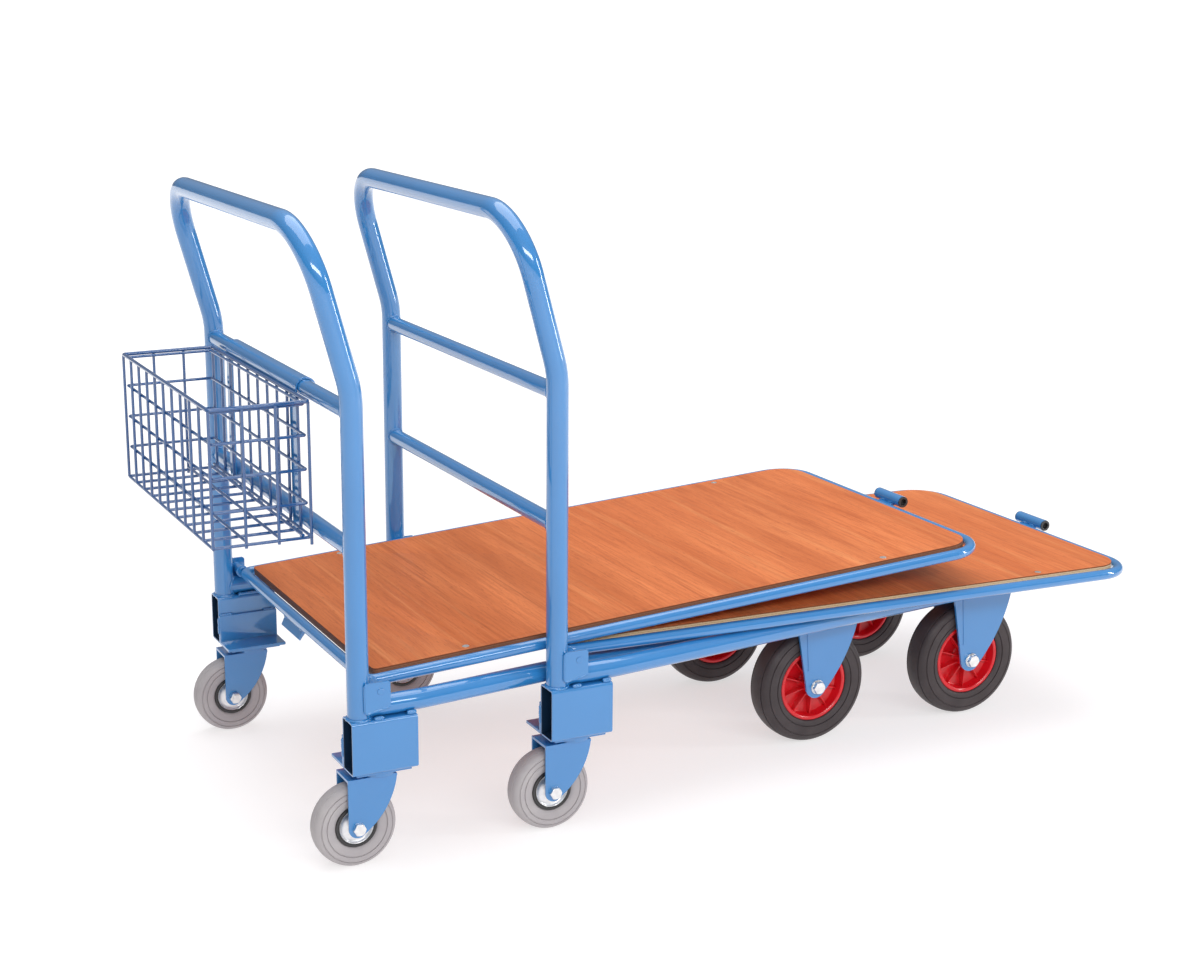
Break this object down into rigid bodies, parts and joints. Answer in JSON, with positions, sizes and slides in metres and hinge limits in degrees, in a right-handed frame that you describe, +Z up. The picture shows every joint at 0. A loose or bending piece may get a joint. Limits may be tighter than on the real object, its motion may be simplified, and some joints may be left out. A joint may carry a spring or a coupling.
{
  "type": "nesting platform cart pair",
  "caption": "Two nested warehouse platform carts with tube frames, hinged plywood decks, push bows, swivel casters, fixed wheels and a hang-on wire basket.",
  "frame": {"origin": "floor level, under the middle of the nested pair's bounding box", "axes": "+X towards the big wheels and the decks' free ends, +Y to the carts' left, +Z up; the casters and handles are at -X"},
  "size_m": [1.611, 0.6804, 0.9405],
  "materials": {
    "blue_paint": "glossy powder coat",
    "basket_wire": "glossy powder coat on welded wire",
    "plywood": "varnished plywood with a pale edge",
    "grey_rubber": "matte, non-marking",
    "black_rubber": "matte",
    "red_plastic": "moulded",
    "hub_steel": "bright zinc",
    "zinc_plate": "bright zinc",
    "black_plastic": "moulded"
  },
  "bodies": {
    "rear_chassis": {"rear_push_bow": "blue_paint", "rear_crossbars": "blue_paint", "rear_chassis_frame": "blue_paint", "rear_caster_mounts": "blue_paint", "rear_hinge_plates": "blue_paint", "rear_hinge_pins": "blue_paint", "rear_wheel_forks": "blue_paint", "rear_wheel_axles": "zinc_plate", "rear_caster_plates": "blue_paint"},
    "rear_deck": {"rear_deck_frame": "blue_paint", "rear_deck_slats": "blue_paint", "rear_deck_board": "plywood", "rear_deck_screws": "zinc_plate", "rear_deck_brackets": "blue_paint", "rear_bumper_tube": "blue_paint", "rear_bumper_plugs": "black_plastic"},
    "rear_caster_left": {"rear_caster_fork_left": "blue_paint", "rear_caster_axle_left": "zinc_plate"},
    "rear_caster_wheel_left": {"rear_caster_tyre_left": "grey_rubber", "rear_caster_hub_left": "hub_steel"},
    "rear_wheel_left": {"rear_wheel_tyre_left": "black_rubber", "rear_wheel_hub_left": "red_plastic"},
    "rear_caster_right": {"rear_caster_fork_right": "blue_paint", "rear_caster_axle_right": "zinc_plate"},
    "rear_caster_wheel_right": {"rear_caster_tyre_right": "grey_rubber", "rear_caster_hub_right": "hub_steel"},
    "rear_wheel_right": {"rear_wheel_tyre_right": "black_rubber", "rear_wheel_hub_right": "red_plastic"},
    "front_chassis": {"front_push_bow": "blue_paint", "front_crossbars": "blue_paint", "front_chassis_frame": "blue_paint", "front_caster_mounts": "blue_paint", "front_hinge_plates": "blue_paint", "front_hinge_pins": "blue_paint", "front_wheel_forks": "blue_paint", "front_wheel_axles": "zinc_plate", "front_caster_plates": "blue_paint"},
    "front_deck": {"front_deck_frame": "blue_paint", "front_deck_slats": "blue_paint", "front_deck_board": "plywood", "front_deck_screws": "zinc_plate", "front_deck_brackets": "blue_paint", "front_bumper_tube": "blue_paint", "front_bumper_plugs": "black_plastic"},
    "front_caster_left": {"front_caster_fork_left": "blue_paint", "front_caster_axle_left": "zinc_plate"},
    "front_caster_wheel_left": {"front_caster_tyre_left": "grey_rubber", "front_caster_hub_left": "hub_steel"},
    "front_wheel_left": {"front_wheel_tyre_left": "black_rubber", "front_wheel_hub_left": "red_plastic"},
    "front_caster_right": {"front_caster_fork_right": "blue_paint", "front_caster_axle_right": "zinc_plate"},
    "front_caster_wheel_right": {"front_caster_tyre_right": "grey_rubber", "front_caster_hub_right": "hub_steel"},
    "front_wheel_right": {"front_wheel_tyre_right": "black_rubber", "front_wheel_hub_right": "red_plastic"},
    "basket": {"wire_basket": "basket_wire", "basket_hooks": "blue_paint"}
  },
  "joints": [
    {"name": "nest_slide", "type": "slide", "parent": "front_chassis", "child": "rear_chassis", "axis": [-1, 0, 0], "range_m": [0, 1.6]},
    {"name": "rear_deck_tilt", "type": "hinge", "parent": "rear_chassis", "child": "rear_deck", "pos_m": [-0.61058, 0, 0.272], "axis": [0, -1, 0], "range_deg": [-4.19, 0]},
    {"name": "rear_caster_swivel_left", "type": "hinge", "parent": "rear_chassis", "child": "rear_caster_left", "pos_m": [-0.60358, 0.296, 0.14], "axis": [0, 0, 1], "continuous": true},
    {"name": "rear_caster_roll_left", "type": "hinge", "parent": "rear_caster_left", "child": "rear_caster_wheel_left", "pos_m": [-0.64058, 0.296, 0.0625], "axis": [0, 1, 0], "continuous": true},
    {"name": "rear_wheel_roll_left", "type": "hinge", "parent": "rear_chassis", "child": "rear_wheel_left", "pos_m": [0.21642, 0.156, 0.1], "axis": [0, 1, 0], "continuous": true},
    {"name": "rear_caster_swivel_right", "type": "hinge", "parent": "rear_chassis", "child": "rear_caster_right", "pos_m": [-0.60358, -0.296, 0.14], "axis": [0, 0, 1], "continuous": true},
    {"name": "rear_caster_roll_right", "type": "hinge", "parent": "rear_caster_right", "child": "rear_caster_wheel_right", "pos_m": [-0.64058, -0.296, 0.0625], "axis": [0, 1, 0], "continuous": true},
    {"name": "rear_wheel_roll_right", "type": "hinge", "parent": "rear_chassis", "child": "rear_wheel_right", "pos_m": [0.21642, -0.156, 0.1], "axis": [0, 1, 0], "continuous": true},
    {"name": "front_deck_tilt", "type": "hinge", "parent": "front_chassis", "child": "front_deck", "pos_m": [-0.29958, 0, 0.272], "axis": [0, -1, 0], "range_deg": [0, 3.4]},
    {"name": "front_caster_swivel_left", "type": "hinge", "parent": "front_chassis", "child": "front_caster_left", "pos_m": [-0.29258, 0.296, 0.14], "axis": [0, 0, 1], "continuous": true},
    {"name": "front_caster_roll_left", "type": "hinge", "parent": "front_caster_left", "child": "front_caster_wheel_left", "pos_m": [-0.32958, 0.296, 0.0625], "axis": [0, 1, 0], "continuous": true},
    {"name": "front_wheel_roll_left", "type": "hinge", "parent": "front_chassis", "child": "front_wheel_left", "pos_m": [0.52742, 0.156, 0.1], "axis": [0, 1, 0], "continuous": true},
    {"name": "front_caster_swivel_right", "type": "hinge", "parent": "front_chassis", "child": "front_caster_right", "pos_m": [-0.29258, -0.296, 0.14], "axis": [0, 0, 1], "continuous": true},
    {"name": "front_caster_roll_right", "type": "hinge", "parent": "front_caster_right", "child": "front_caster_wheel_right", "pos_m": [-0.32958, -0.296, 0.0625], "axis": [0, 1, 0], "continuous": true},
    {"name": "front_wheel_roll_right", "type": "hinge", "parent": "front_chassis", "child": "front_wheel_right", "pos_m": [0.52742, -0.156, 0.1], "axis": [0, 1, 0], "continuous": true},
    {"name": "basket_lift", "type": "slide", "parent": "rear_chassis", "child": "basket", "axis": [0, 0, 1], "range_m": [0, 0.2]}
  ],
  "couplings": [
    {"joint": "rear_deck_tilt", "follows": "nest_slide", "rad_per_m": -0.045706}
  ]
}
